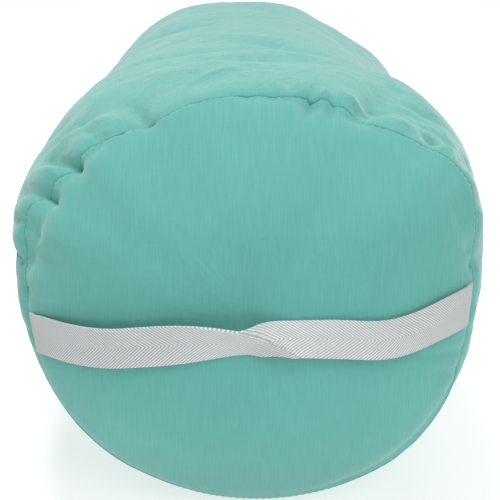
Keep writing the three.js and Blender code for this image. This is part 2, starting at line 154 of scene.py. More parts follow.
class Shader:
    """A material whose nodes are made by expressions."""

    def __init__(self, name):
        self.material = bpy.data.materials.new(name)
        self.material.use_nodes = True
        self.tree = self.material.node_tree
        self.surface = self.tree.nodes["Principled BSDF"]

    def node(self, kind, settings, *inputs, first=0, output=0, **named):
        """Adds a node with its settings, fills its inputs in order or by name, gives an output."""
        made = self.tree.nodes.new(kind)
        for key, value in settings.items():
            setattr(made, key, value)
        for index, value in enumerate(inputs, first):
            self.feed(made.inputs[index], value)
        for key, value in named.items():
            self.feed(made.inputs[key], value)
        return Value(self, made.outputs[output])

    def feed(self, target, value):
        if isinstance(value, Value):
            self.tree.links.new(value.socket, target)
        else:
            target.default_value = value

    def place(self, source="UV", scale=(1, 1, 1)):
        """A point of the piece, in metres, stretched for a pattern."""
        point = self.node("ShaderNodeTexCoord", {}, output=source)
        return self.node("ShaderNodeVectorMath", {"operation": "MULTIPLY"}, point, scale)

    def apart(self, point):
        """The three coordinates of a point."""
        x = self.node("ShaderNodeSeparateXYZ", {}, point)
        return [Value(self, socket) for socket in x.socket.node.outputs]

    def noise(self, scale, detail=2.0, roughness=0.5, source="Object"):
        """Soft noise from 0 to 1 with about scale grains to the metre along each axis."""
        inputs = {"Vector": self.place(source, scale), "Scale": 1.0, "Detail": detail, "Roughness": roughness}
        return self.node("ShaderNodeTexNoise", {}, **inputs)

    def mix(self, share, low, high):
        """One colour turning into another; a colour mix has its colours at inputs 6 and 7."""
        settings = {"data_type": "RGBA"}
        return self.node("ShaderNodeMix", settings, low, high, first=6, output=2, Factor=share)

    def bump(self, height, distance, strength=1.0):
        raised = self.node("ShaderNodeBump", {}, Strength=strength, Distance=distance, Height=height)
        self.feed(self.surface.inputs["Normal"], raised)

    def set(self, **values):
        for key, value in values.items():
            self.feed(self.surface.inputs[key.replace("_", " ")], value)
        return self.material


def shade(colour, factor):
    """A colour made darker or lighter."""
    return (*(min(1, part * factor) for part in colour[:3]), 1)


# ---- Materials ---------------------------------------------------------------------------------------------


def cotton(name, colour, slub, crumple):
    """Plain-weave cotton with thicker yarns that show as fine streaks, crumpled by some depth."""
    s = Shader(name)
    across, along, _ = s.apart(s.place())
    yarn = 0.8 * MM
    warp, weft = across.wave(yarn), along.wave(yarn)
    weave = warp * weft + (1 - warp) * (1 - weft)
    upright = s.noise((1500, 60, 1), 3.0, 0.6, "UV")
    level = s.noise((50, 1300, 1), 3.0, 0.6, "UV")
    mottle = s.noise((28, 28, 28), 3.0)
    fibre = s.noise((2600, 2600, 2600), 2.0)
    streak = upright.between(0.36, 0.68) * 0.8 + level.between(0.4, 0.7) * 0.2
    ridges = (s.noise((26, 15, 26), 4.0, 0.55) - 0.5).absolute()
    crease = 1 - ridges.between(0.0, 0.09)
    tone = streak * slub + weave * 0.1 + mottle * 0.36 + fibre * 0.2
    tinted = s.mix(tone.between(0.1, 1.0), shade(colour, 0.9), shade(colour, 1.1))
    yarn_height = 0.12 * MM
    folds = (mottle * 0.7 - crease * 0.3) * (crumple / yarn_height)
    s.bump(weave * 0.4 + streak * 0.7 + fibre * 0.3 + folds, yarn_height, 0.7)
    s.set(Base_Color=tinted, Roughness=0.86 + 0.1 * (1 - streak))
    return s.set(Sheen_Weight=0.4, Sheen_Roughness=0.5, Specular_IOR_Level=0.2)


def herringbone(name, colour, pitch):
    """Cotton tape woven in chevrons that point along the strap."""
    s = Shader(name)
    along, across, _ = s.apart(s.place())
    spine = across.absolute()
    rib = (along + spine * 1.05).wave(pitch)
    thread = (along * 0.35 - spine).wave(0.55 * MM)
    worn = s.noise((90, 90, 90), 4.0)
    fibre = s.noise((3000, 3000, 3000), 2.0)
    ridge = rib.between(0.15, 0.8)
    tone = ridge * 0.72 + thread * 0.12 + fibre * 0.16
    tinted = s.mix(tone, shade(colour, 0.55), shade(colour, 1.04))
    tinted = s.mix(worn.between(0.45, 0.8) * 0.18, tinted, shade(colour, 0.8))
    s.bump(ridge * 0.8 + thread * 0.15 + fibre * 0.1, 0.3 * MM, 0.8)
    s.set(Base_Color=tinted, Roughness=0.8 + 0.12 * (1 - ridge))
    return s.set(Sheen_Weight=0.15, Specular_IOR_Level=0.3)


def thread_cotton(name, colour):
    """Twisted sewing thread with a little fuzz."""
    s = Shader(name)
    x, y, z = s.apart(s.place("Object"))
    twist = (x + y * 0.7 + z).wave(0.35 * MM)
    fuzz = s.noise((1500, 1500, 1500), 2.0)
    tinted = s.mix(twist * 0.6 + fuzz * 0.4, shade(colour, 0.72), shade(colour, 1.1))
    s.bump(twist, 0.06 * MM, 0.6)
    return s.set(Base_Color=tinted, Roughness=0.62 + fuzz * 0.2)


def tape_weave(name, colour):
    """Flat woven cloth with ribs across its length."""
    s = Shader(name)
    _, y, z = s.apart(s.place("Object"))
    rib = y.wave(0.6 * MM)
    fine = z.wave(0.5 * MM)
    fuzz = s.noise((1200, 1200, 1200), 2.0)
    tinted = s.mix(rib * 0.5 + fine * 0.2 + fuzz * 0.3, shade(colour, 0.75), shade(colour, 1.1))
    s.bump(rib * 0.6 + fine * 0.4, 0.1 * MM, 0.7)
    return s.set(Base_Color=tinted, Roughness=0.75 + fuzz * 0.15)


def nylon(name, colour):
    """Dyed plastic wire, half matt."""
    s = Shader(name)
    haze = s.noise((700, 700, 700), 3.0)
    tinted = s.mix(haze, shade(colour, 0.88), shade(colour, 1.12))
    s.bump(haze, 0.03 * MM, 0.4)
    return s.set(Base_Color=tinted, Roughness=0.3 + haze * 0.2)


def nickel(name, colour):
    """Die-cast metal, tumbled and plated, with fine scratches."""
    s = Shader(name)
    scratch = s.noise((400, 5200, 5200), 3.0)
    cloud = s.noise((350, 350, 350), 3.0)
    tinted = s.mix(cloud, shade(colour, 0.82), shade(colour, 1.08))
    s.bump(scratch, 0.02 * MM, 0.3)
    s.set(Base_Color=tinted, Roughness=0.24 + scratch * 0.16 + cloud * 0.1)
    return s.set(Metallic=1.0)


def batt(name, colour):
    """Carded cotton: matted fibres with small clumps."""
    s = Shader(name)
    clump = s.noise((160, 60, 160), 5.0, 0.7)
    fibre = s.noise((1400, 300, 1400), 4.0, 0.7)
    tinted = s.mix(clump * 0.6 + fibre * 0.4, shade(colour, 0.82), shade(colour, 1.08))
    s.bump(clump + fibre * 0.5, 1.2 * MM, 0.7)
    return s.set(Base_Color=tinted, Roughness=0.9 + fibre * 0.08, Sheen_Weight=0.3)


def plain_floor(name, colour):
    """A pale studio sheet, lit a little from beneath."""
    s = Shader(name)
    cloud = s.noise((1.5, 1.5, 1.5), 2.0)
    tinted = s.mix(cloud * 0.2, shade(colour, 1.0), shade(colour, 0.98))
    s.set(Base_Color=tinted, Roughness=0.7 + cloud * 0.1)
    return s.set(Emission_Color=(1, 1, 1, 1), Emission_Strength=0.66)


# ---- Meshes ------------------------------------------------------------------------------------------------


def baked(bm, name):
    """Turns a bmesh into a mesh and lets it go."""
    mesh = bpy.data.meshes.new(name)
    bm.to_mesh(mesh)
    bm.free()
    return mesh


def linked(name, data):
    made = bpy.data.objects.new(name, data)
    bpy.context.scene.collection.objects.link(made)
    return made


def paint(mesh, material):
    mesh.materials.clear()
    mesh.materials.append(material)


def piece(name, mesh, material, body=BODY, smooth=True):
    """Makes a finished object that rides on a body of the frame."""
    mesh.polygons.foreach_set("use_smooth", [smooth] * len(mesh.polygons))
    made = linked(name, mesh)
    paint(mesh, material)
    if body:
        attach(made, body)
    return made


def spun(profile, steps, start=0.0):
    """Turns a profile of (radius, y) points about the Y axis. Ends on the axis close the shape."""
    bm = bmesh.new()
    first = Matrix.Rotation(-start, 3, "Y")
    points = [bm.verts.new(first @ Vector((radius, y, 0))) for radius, y in profile]
    edges = [bm.edges.new(pair) for pair in zip(points, points[1:])]
    bmesh.ops.spin(
        bm, geom=points + edges, cent=(0, 0, 0), axis=(0, 1, 0),
        dvec=(0, 0, 0), angle=2 * math.pi, steps=steps, use_merge=True,
    )
    bmesh.ops.remove_doubles(bm, verts=bm.verts, dist=1e-6)
    bmesh.ops.recalc_face_normals(bm, faces=bm.faces)
    return bm


def coordinates(mesh):
    places = np.empty(len(mesh.vertices) * 3)
    mesh.vertices.foreach_get("co", places)
    return places.reshape(-1, 3)


def set_coordinates(mesh, places):
    mesh.vertices.foreach_set("co", places.ravel())
    mesh.update()


def outward(mesh):
    """The direction in which the surface faces at each vertex."""
    normals = np.empty(len(mesh.vertices) * 3)
    mesh.vertices.foreach_get("normal", normals)
    return normals.reshape(-1, 3)


def repeated(made, name, count, step):
    """Repeats a piece along the bolster."""
    row = made.modifiers.new(name, "ARRAY")
    row.use_relative_offset = False
    row.use_constant_offset = True
    row.constant_offset_displace = (0, step, 0)
    row.count = count


def broken_edges(made, name, width, angle=30):
    """Rounds the edges of a piece that are sharper than an angle in degrees."""
    edge = made.modifiers.new(name, "BEVEL")
    edge.width = width
    edge.segments = 2
    edge.limit_method = "ANGLE"
    edge.angle_limit = math.radians(angle)


def bell(distance, spread):
    return np.exp(-((distance / spread) ** 2))


def turn_between(a, b):
    """Signed angle from b to a, in radians."""
    return (a - b + math.pi) % (2 * math.pi) - math.pi


# ---- The cover's form --------------------------------------------------------------------------------------


def curl(y):
    """1 along the straight middle of the barrel, falling to 0 at a seam."""
    along = np.clip((np.abs(y) - (HALF_BARREL - SHOULDER)) / SHOULDER, 0, 1)
    return 0.45 * np.sqrt(1 - along**2) + 0.55 * (1 - along**2.2)


# Where the seam ring stands out of its oval, or in: direction in degrees, share of the radius, spread.
SEAM_BULGES = (
    (33, 0.115, 15),
    (72, 0.04, 9),
    (117, -0.035, 10),
    (133, 0.03, 6),
    (157, 0.085, 11),
    (-8, -0.03, 12),
    (-50, 0.045, 26),
    (-128, 0.012, 22),
    (192, -0.02, 12),
)


def seam_outline(angle):
    """How far the handle end's seam stands out in a direction, as a share of its oval."""
    share = np.ones_like(angle)
    for direction, amount, spread in SEAM_BULGES:
        share += amount * bell(turn_between(angle, math.radians(direction)), math.radians(spread))
    return share


LOW_LIP = 0.038  # how much flatter the barrel leaves the handle end's seam on its underside


def low_side(angle):
    """0 over the middle of the bolster, 1 well below it."""
    share = np.clip((-np.sin(angle) - 0.12) / 0.4, 0, 1)
    return share * share * (3 - 2 * share)


def settle(places, front_outline=True):
    """Turns the round form (belly radius 1) into the oval that rests on the floor."""
    x, y, z = places.T
    radius = np.hypot(x, z)
    angle = np.arctan2(z, x)
    inside = np.clip(HALF_BARREL - np.abs(y), 0, None)
    if front_outline:
        near = np.where(y < 0, 1.0, 0.25) * np.exp(-inside / (70 * MM))
        radius = radius * (1 + (seam_outline(angle) - 1) * near)
        lip = LOW_LIP * low_side(angle) * (1 - np.exp(-inside / (4 * MM))) * np.exp(-inside / (60 * MM))
        radius = radius * (1 - lip * (y < 0))
    wide = BELLY_WIDE * radius * np.cos(angle)
    high = BELLY_HIGH * radius * np.sin(angle)
    lowest = 0.2 * MM
    return np.stack([wide, y, np.maximum(high + AXIS, lowest)], axis=1)


def graded(total, first, growth, widest):
    """Distances from a seam, small at first and growing to a widest step, that end at total."""
    steps = [first]
    while sum(steps) < total:
        steps.append(min(steps[-1] * growth, widest))
    scale = total / sum(steps)
    return [float(d) for d in np.cumsum([0, *steps]) * scale]


def cover_profile():
    """(radius, y) rows of the whole cover from pole to pole."""
    share = SEAM_WIDE / BELLY_WIDE
    end = []
    for d in graded(1.0, 0.018, 1.2, 0.05)[1:]:
        r = 1 - d
        end.append((share * r, HALF_BARREL + CROWN * (1 - r**CROWN_POWER)))
    shoulder = graded(HALF_BARREL - ZIP_HALF, 2 * MM, 1.2, 6 * MM)
    middle_rows = 46
    middle = [ZIP_HALF - 2 * ZIP_HALF * i / middle_rows for i in range(1, middle_rows)]
    barrel_y = [HALF_BARREL - d for d in shoulder] + middle + [d - HALF_BARREL for d in shoulder[::-1]]
    barrel = [(share + (1 - share) * float(curl(y)), y) for y in barrel_y]
    rear = [(r, y) for r, y in end[::-1]]
    front = [(r, -y) for r, y in end]
    return rear + barrel + front


COLUMNS = 180  # of cloth faces round the cover
BARREL, FRONT, REAR = range(3)  # material indices of the three cloths


def cover_form():
    """The whole cover as one closed surface, with its three cloths as material indices."""
    bm = spun(cover_profile(), COLUMNS, start=ZIP_ANGLE)
    for face in bm.faces:
        y = face.calc_center_median().y
        face.material_index = BARREL if abs(y) < HALF_BARREL else (FRONT if y < 0 else REAR)
    mesh = baked(bm, "cover_form")
    set_coordinates(mesh, settle(coordinates(mesh)))
    return mesh


def zip_distances(places):
    """Distance across the zip and along it, for each point on the zip's side."""
    offset = places - np.array(ZIP_AT)
    across = offset @ np.array(ZIP_ACROSS)
    out = offset @ np.array(ZIP_OUT)
    on_side = out > -40 * MM
    return np.where(on_side, across, 1.0), places[:, 1]


def zip_hold(places):
    """1 where the zip keeps the cloth flat, falling to 0 around it."""
    across, along = zip_distances(places)
    beside = 1 - np.clip((np.abs(across) - 12 * MM) / (16 * MM), 0, 1)
    beyond = 1 - np.clip((np.abs(along) - ZIP_HALF - 4 * MM) / (25 * MM), 0, 1)
    return beside * beyond


def tuck_slit(mesh):
    """Moves the two columns beside the zip to the cloth's folded edges."""
    places = coordinates(mesh)
    across, along = zip_distances(places)
    column = BELLY_WIDE * 2 * math.pi / COLUMNS
    beside = (np.abs(np.abs(across) - column) < 0.45 * column) & (np.abs(along) < ZIP_HALF + 1 * MM)
    shift = np.sign(across) * ZIP_SLIT - across
    places += np.where(beside, shift, 0)[:, None] * np.array(ZIP_ACROSS)
    set_coordinates(mesh, places)


def inflate(mesh):
    """Presses the fill against the cloth: seams, zip and resting patch hold, spare cloth buckles."""
    start = coordinates(mesh)
    from_seam = np.abs(np.abs(start[:, 1]) - HALF_BARREL)
    ring = np.exp(-from_seam / (0.6 * MM))
    floor = start[:, 2] < 0.6 * MM
    hold = np.maximum.reduce([ring, zip_hold(start), floor * 1.0, np.full(len(start), 0.02)])
    uneven = np.random.default_rng(7).normal(0, 0.12 * MM, len(start)) * (1 - hold)
    set_coordinates(mesh, start + outward(mesh) * uneven[:, None])
    form = linked("cover_form", mesh)
    for label, weights in (("hold", hold), ("excess", np.exp(-from_seam / (26 * MM)))):
        group = form.vertex_groups.new(name=label)
        for index, weight in enumerate(weights):
            group.add([index], float(weight), "REPLACE")
    cotton_settings(form.modifiers.new("Cloth", "CLOTH").settings)
    for number in range(1, PRESSING_FRAMES + 1):
        bpy.context.scene.frame_set(number)
    settled = form.evaluated_get(bpy.context.evaluated_depsgraph_get())
    moved = coordinates(settled.data) - start
    bpy.context.scene.frame_set(1)
    bpy.data.objects.remove(form)
    length = np.linalg.norm(moved, axis=1, keepdims=True)
    moved *= np.minimum(1, PRESSING_LIMIT / np.maximum(length, 1e-9))
    set_coordinates(mesh, start + even_poles(moved, start))


PRESSING_FRAMES = 21
PRESSING_LIMIT = 6 * MM  # the furthest that a point of the cloth may move


def even_poles(moved, start):
    """Lets the middle of each end panel move as one, where its faces are too narrow to crease."""
    from_pole = np.hypot(start[:, 0], start[:, 2] - AXIS)
    for sign in (-1, 1):
        pole = bell(from_pole, 22 * MM) * (start[:, 1] * sign > HALF_BARREL)
        moved += (moved[pole > 0.3].mean(axis=0) - moved) * pole[:, None]
    return moved


def cotton_settings(cloth):
    """Firm cotton under the pressure of the fill, with spare cloth along the seams."""
    cloth.quality = 6
    cloth.mass = 0.25
    cloth.tension_stiffness = 20
    cloth.compression_stiffness = 12
    cloth.shear_stiffness = 6
    cloth.bending_stiffness = 0.35
    cloth.use_pressure = True
    cloth.uniform_pressure_force = 4
    cloth.effector_weights.gravity = 0
    cloth.vertex_group_mass = "hold"
    cloth.pin_stiffness = 1.0
    cloth.vertex_group_shrink = "excess"
    cloth.shrink_min = 0.0
    cloth.shrink_max = -0.07


# Folds that show at the handle end: from and to, each as degrees round and millimetres from the seam
# (towards the far end, or minus over the end panel), then width and depth. A negative depth is a ridge.
FOLDS = (
    (149, 0, 157, 38, 5, 6.0),
    (139, 0, 147, 36, 5, 6.0),
    (144, 4, 151, 30, 6, -3.6),
    (117, -2, 121, 34, 5, 5.0),
    (146, 34, 124, 15, 7, -2.4),
    (150, 46, 126, 30, 8, 1.6),
    (75, -4, 74, 20, 4, 4.6),
    (69, -3, 71, 22, 4, 3.4),
    (72, 3, 72, 16, 4, -2.2),
    (66, 8, 58, 11, 6, -2.4),
    (52, 8, 46, 10, 5, -2.2),
    (80, 6, 84, 34, 4, 2.0),
    (60, 7, 55, 26, 4, 2.8),
    (36, 8, 30, 44, 5, 3.0),
    (130, 4, 134, 40, 5, 3.0),
    (158, 2, 163, 30, 4, 3.2),
    (44, 8, 38, 34, 5, 3.4),
    (48, 10, 38, 14, 4, 2.4),
    (40, 9, 36, 24, 5, -2.4),
    (62, 4, 50, 92, 7, 3.6),
    (27, 6, 24, 34, 5, 2.6),
    (165, -8, 167, 22, 11, 3.2),
    (179, -4, 180, -38, 4, 1.2),
    (12, 3, 9, 28, 6, 2.2),
    (-14, -3, -17, -44, 5, 1.3),
    (-20, -2, -24, -34, 5, 1.1),
    (108, 70, 62, 118, 13, 4.4),
    (128, 120, 80, 165, 14, 4.6),
    (100, 210, 45, 175, 15, 4.2),
    (150, 180, 112, 230, 14, 4.2),
    (95, 300, 130, 345, 16, 4.0),
    (70, 260, 35, 330, 14, 4.4),
    (88, 420, 50, 460, 18, 2.2),
    (140, 430, 105, 480, 17, 2.0),
    (58, 22, 44, 34, 4, 1.8),
    (54, 40, 36, 52, 5, 2.2),
    (46, 60, 58, 78, 5, -2.0),
    (30, 46, 18, 70, 6, 2.0),
    (84, 40, 96, 60, 6, 1.8),
    (104, 26, 92, 40, 5, -1.6),
    (160, 30, 172, 66, 6, 2.4),
    (136, 60, 148, 84, 7, 2.4),
    (62, 15, 53, 21, 3, 1.8),
    (51, 17, 43, 26, 3, 1.9),
    (57, 31, 47, 35, 3, 1.8),
    (42, 24, 33, 32, 3, 1.9),
    (36, 38, 27, 48, 3, 1.8),
    (48, 44, 40, 56, 4, 2.0),
)

# Broad hollows of the barrel: degrees round, millimetres from the handle end's seam, spreads and depth.
HOLLOWS = (
    (50, 135, 20, 45, 2.0),
    (134, 320, 24, 80, -3.5),
    (60, 500, 20, 130, 4.0),
    (124, 490, 20, 120, -4.5),
    (44, 370, 22, 120, 5.5),
    (46, 90, 22, 75, -9.0),
    (132, 120, 26, 95, -9.5),
    (15, 380, 22, 80, 3.0),
    (95, 190, 30, 60, 2.5),
    (-30, 210, 22, 60, 3.0),
    (205, 420, 22, 60, 3.0),
)


def segment_distance(p, q, a, b):
    """Distance from points (p, q) to the segment a-b, and the share of the way along it."""
    ab = (b[0] - a[0], b[1] - a[1])
    along = ((p - a[0]) * ab[0] + (q - a[1]) * ab[1]) / (ab[0] ** 2 + ab[1] ** 2)
    along = np.clip(along, 0, 1)
    return np.hypot(p - a[0] - along * ab[0], q - a[1] - along * ab[1]), along


def sharp(distance, spread):
    """A crease: steep at its line, with a fine rounded bottom."""
    return np.exp(-1.3 * (np.hypot(distance, 0.8) - 0.8) / spread)


def around(angle, direction):
    """Arc length from a direction, in millimetres of the belly's girth."""
    return turn_between(angle, math.radians(direction)) * BELLY_WIDE / MM


def fold_offsets(angle, from_seam, strength):
    """How far each fold and hollow presses the cloth in, in metres."""
    depth = np.zeros_like(angle)
    for a0, d0, a1, d1, width, amount in FOLDS:
        p = around(angle, a0)
        end = math.radians(a1 - a0) * BELLY_WIDE / MM
        distance, along = segment_distance(p, from_seam, (0.0, d0), (end, d1))
        fade = np.clip(1.15 - along, 0, 1) if abs(d0) < 10 else np.sin(np.pi * (0.12 + 0.76 * along))
        depth += amount * (bell(distance, width) if width > 6 else sharp(distance, width)) * fade
    for direction, at, turn, run, amount in HOLLOWS:
        p = turn_between(angle, math.radians(direction))
        depth += amount * bell(p, math.radians(turn)) * bell(from_seam - at, run)
    return depth * strength * MM


def pleat_offsets(angle, from_seam, count, seed):
    """Small gathers that the seam's thread pulls into both cloths."""
    source = random.Random(seed)
    depth = np.zeros_like(angle)
    for index in range(count):
        at = 360 * (index + source.uniform(-0.42, 0.42)) / count
        lean = source.uniform(-3.5, 3.5)
        reach = source.uniform(14, 34)
        inward = source.uniform(8, 20)
        amount = source.uniform(0.3, 1.3)
        p = around(angle, at)
        distance, along = segment_distance(p, from_seam, (0.0, 0.0), (lean, reach))
        over, back = segment_distance(p, from_seam, (0.0, 0.0), (-lean / 2, -inward))
        depth += amount * bell(distance, 3.2) * (1 - along)
        depth += 0.6 * amount * bell(over, 3.0) * (1 - back) * (from_seam < 0)
    return depth * MM


def lumps(places, scale, amount, seed):
    """Uneven fill under the cloth."""
    offset = Vector((seed * 3.1, seed * 1.7, seed * 2.3))
    raised = [noise.noise(Vector(p) * scale + offset) for p in places]
    return np.array(raised) * amount


def seam_distances(places):
    """Millimetres from the front and rear seams, minus over a panel, and the radius as a share of theirs."""
    radius = np.hypot(places[:, 0] / SEAM_WIDE, (places[:, 2] - AXIS) / SEAM_HIGH)
    over_panel = np.minimum(-(1 - radius) * SEAM_WIDE / MM, 0)
    front = (places[:, 1] + HALF_BARREL) / MM
    rear = (HALF_BARREL - places[:, 1]) / MM
    return np.where(front < 0, over_panel, front), np.where(rear < 0, over_panel, rear), radius


def loose_side(angle):
    """1 where the handle end's seam runs flat and unseen: on the right shoulder, and less so on top."""
    right = bell(turn_between(angle, math.radians(42)), math.radians(26))
    top = 0.8 * bell(turn_between(angle, math.radians(98)), math.radians(20))
    return np.maximum(right, top)


def finish_cloth(mesh, props):
    """Adds the seams' grooves, gathers, folds and lumps to the inflated cover."""
    places = coordinates(mesh)
    angle = np.arctan2((places[:, 2] - AXIS) / BELLY_HIGH, places[:, 0] / BELLY_WIDE)
    y = places[:, 1]
    on_panel = np.abs(y) > HALF_BARREL
    front, rear, radius = seam_distances(places)
    soft_side = loose_side(angle) * (y < 0)
    pressed = fold_offsets(angle, front, props.folds)
    gathered = pleat_offsets(angle, front, props.gathers, 11) + pleat_offsets(angle, rear, props.gathers, 23)
    pressed += gathered * (1 - 0.85 * low_side(angle)) * (1 - 0.5 * soft_side)
    pressed *= np.where(on_panel, np.clip(radius, 0, 1) ** 2, 1.0)
    nearest = np.minimum(np.abs(front), np.abs(rear))
    groove = props.seam_depth * np.exp(-((nearest / 3.4) ** 1.4)) * (1 - 0.6 * soft_side)
    puff = 0.5 * MM * bell(nearest - 11, 9) * (1 - low_side(angle))
    longer = places * (1, 0.6, 1)
    waves = lumps(places, 16, 2.4 * MM, 1) + lumps(longer, 40, 1.3 * MM, 2) + lumps(longer, 110, 0.35 * MM, 3)
    waves *= (1 - np.exp(-nearest / 9)) * np.where(on_panel, 0.6, 1.0)
    held = zip_hold(places)
    offset = (puff - pressed + waves) * (1 - held) - groove * (1 - 0.4 * held)
    across, along = zip_distances(places)
    closing = (np.abs(along) > ZIP_HALF) & ~on_panel
    offset -= 1.6 * MM * bell(across, 2.6 * MM) * closing
    over_floor = np.clip(places[:, 2] / (14 * MM), 0, 1)
    places = places + outward(mesh) * (offset * over_floor)[:, None]
    places[:, 2] = np.maximum(places[:, 2], 0.0)
    set_coordinates(mesh, places)


def subdivided(mesh):
    """The same surface with four faces for each one."""
    holder = linked("subdivided", mesh)
    smooth = holder.modifiers.new("Subdivision", "SUBSURF")
    smooth.levels = 1
    smooth.render_levels = 1
    made = bpy.data.meshes.new_from_object(holder.evaluated_get(bpy.context.evaluated_depsgraph_get()))
    bpy.data.objects.remove(holder)
    bpy.data.meshes.remove(mesh)
    return made


def cloth_map(bm, round_barrel):
    """Writes the cloth's own flat coordinates, in metres, as its UV map."""
    layer = bm.loops.layers.uv.new("cloth")
    girth = 2 * math.pi * BELLY_WIDE
    for face in bm.faces:
        turns = []
        for loop in face.loops:
            x, y, z = loop.vert.co
            if not round_barrel:
                loop[layer].uv = (x, z)
                continue
            turn = (math.atan2(z - AXIS, x) / (2 * math.pi) + 0.25) % 1.0
            turns.append(turn)
            loop[layer].uv = (turn * girth, y)
        if turns and max(turns) - min(turns) > 0.5:
            for loop in face.loops:
                if loop[layer].uv.x < girth / 2:
                    loop[layer].uv.x += girth


def cloth_piece(source, index, name, node, material):
    """Cuts one cloth out of the whole cover and gives it its thickness."""
    bm = bmesh.new()
    bm.from_mesh(source)
    others = [face for face in bm.faces if face.material_index != index]
    bmesh.ops.delete(bm, geom=others, context="FACES")
    if index == BARREL:
        open_slit(bm)
    cloth_map(bm, index == BARREL)
    for face in bm.faces:
        face.material_index = 0
    made = piece(name, baked(bm, name), material)
    wall = made.modifiers.new("Cloth thickness", "SOLIDIFY")
    wall.thickness = 0.9 * MM
    wall.offset = -1
    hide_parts(node)
    return made


def open_slit(bm):
    """Takes out the cloth over the zip."""
    slit = []
    for face in bm.faces:
        offset = face.calc_center_median() - ZIP_AT
        beside = abs(offset.dot(ZIP_ACROSS)) < ZIP_SLIT
        if beside and offset.dot(ZIP_OUT) > -20 * MM and abs(offset.y) < ZIP_HALF:
            slit.append(face)
    bmesh.ops.delete(bm, geom=slit, context="FACES")


# ---- Stitches ----------------------------------------------------------------------------------------------


def stitch_form(length, thick):
    """One stitch along Y: a short, slightly arched thread with rounded ends."""
    rows = ((-1, 0), (-0.93, 0.6), (-0.6, 1), (0, 1), (0.6, 1), (0.93, 0.6), (1, 0))
    bm = spun([(radius * thick / 2, share * length / 2) for share, radius in rows], 6)
    for vert in bm.verts:
        share = 2 * vert.co.y / length
        vert.co.z += 0.35 * thick * (1 - share * share)
    return baked(bm, "stitch")


def stitch(bm, form, at, along, out):
    """Adds a stitch at a point, along the seam and standing out of the cloth."""
    first = len(bm.verts)
    bm.from_mesh(form)
    bm.verts.ensure_lookup_table()
    side = along.cross(out).normalized()
    turned = Matrix((side, along, out)).transposed().to_4x4()
    bmesh.ops.transform(bm, matrix=Matrix.Translation(at) @ turned, verts=bm.verts[first:])


def seam_ring(source, sign):
    """Points of the seam between two cloths, in order round it."""
    bm = bmesh.new()
    bm.from_mesh(source)
    ring = set()
    for edge in bm.edges:
        kinds = {face.material_index for face in edge.link_faces}
        if len(kinds) == 2 and edge.verts[0].co.y * sign > 0:
            ring.update(tuple(v.co) for v in edge.verts)
    bm.free()
    return sorted((Vector(p) for p in ring), key=lambda p: math.atan2(p.z - AXIS, p.x))


def stitch_piece(bm, name, node, material):
    made = piece(name, baked(bm, name), material)
    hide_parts(node)
    return made


STITCH_PITCH = 1.35  # from one stitch to the next, in stitch lengths


def seam_stitches(source, sign, name, node, material, length):
    """Stitches all round an end seam."""
    ring = seam_ring(source, sign)
    points = ring + [ring[0]]
    reach = [0.0]
    for a, b in zip(points, points[1:]):
        reach.append(reach[-1] + (b - a).length)
    count = int(reach[-1] / (length * STITCH_PITCH))
    form = stitch_form(length, 0.55 * MM)
    bm = bmesh.new()
    at = 0
    for index in range(count):
        target = reach[-1] * (index + 0.5) / count
        while reach[at + 1] < target:
            at += 1
        share = (target - reach[at]) / (reach[at + 1] - reach[at])
        middle = points[at].lerp(points[at + 1], share)
        along = (points[at + 1] - points[at]).normalized()
        out = Vector((middle.x, 0, middle.z - AXIS)).normalized()
        out = (out - out.dot(along) * along).normalized()
        stitch(bm, form, middle - out * 0.3 * MM, along, out)
    stitch_piece(bm, name, node, material)


def zip_stitches(name, node, material, side, length):
    """A row of stitches that holds one tape of the zip, repeated along the bolster."""
    pitch = length * 1.3
    start = 1 * MM - ZIP_HALF
    at = ZIP_AT + side * 7.4 * MM * ZIP_ACROSS + 0.15 * MM * ZIP_OUT
    at.y = start + length / 2
    bm = bmesh.new()
    stitch(bm, stitch_form(length, 0.5 * MM), at, Vector((0, 1, 0)), ZIP_OUT)
    made = stitch_piece(bm, name, node, material)
    repeated(made, "Row", int((ZIP_HALF - start) / pitch), pitch)


def closing_stitches(source, sign, name, node, material, length):
    """Stitches in the groove of the barrel's long seam, between the zip and the end seam."""
    start = ZIP_HALF + 2 * MM
    end = HALF_BARREL - 3 * MM
    places = coordinates(source)
    across, along = zip_distances(places)
    spare = 10 * MM
    near = (np.abs(across) < 1.2 * MM) & (along * sign > start - spare) & (along * sign <= end + spare)
    line = sorted((Vector(p) for p in places[near]), key=lambda p: p.y)
    form = stitch_form(length, 0.6 * MM)
    bm = bmesh.new()
    count = int((end - start) / (length * STITCH_PITCH))
    for index in range(count):
        y = sign * (start + (index + 0.5) * (end - start) / count)
        after = next(i for i, p in enumerate(line) if p.y > y)
        a, b = line[after - 1], line[after]
        middle = a.lerp(b, (y - a.y) / (b.y - a.y))
        along = (b - a).normalized()
        out = (ZIP_OUT - ZIP_OUT.dot(along) * along).normalized()
        stitch(bm, form, middle + out * 0.2 * MM, along, out)
    stitch_piece(bm, name, node, material)


# ---- Handle ------------------------------------------------------------------------------------------------


def smooth(share):
    """0 up to a start, 1 from an end, and an even S between."""
    share = min(max(share, 0), 1)
    return share * share * (3 - 2 * share)


def around_each(values, reach, merge):
    """Merges each value of a row with its neighbours."""
    return [merge(values[max(0, i - reach):i + reach + 1]) for i in range(len(values))]


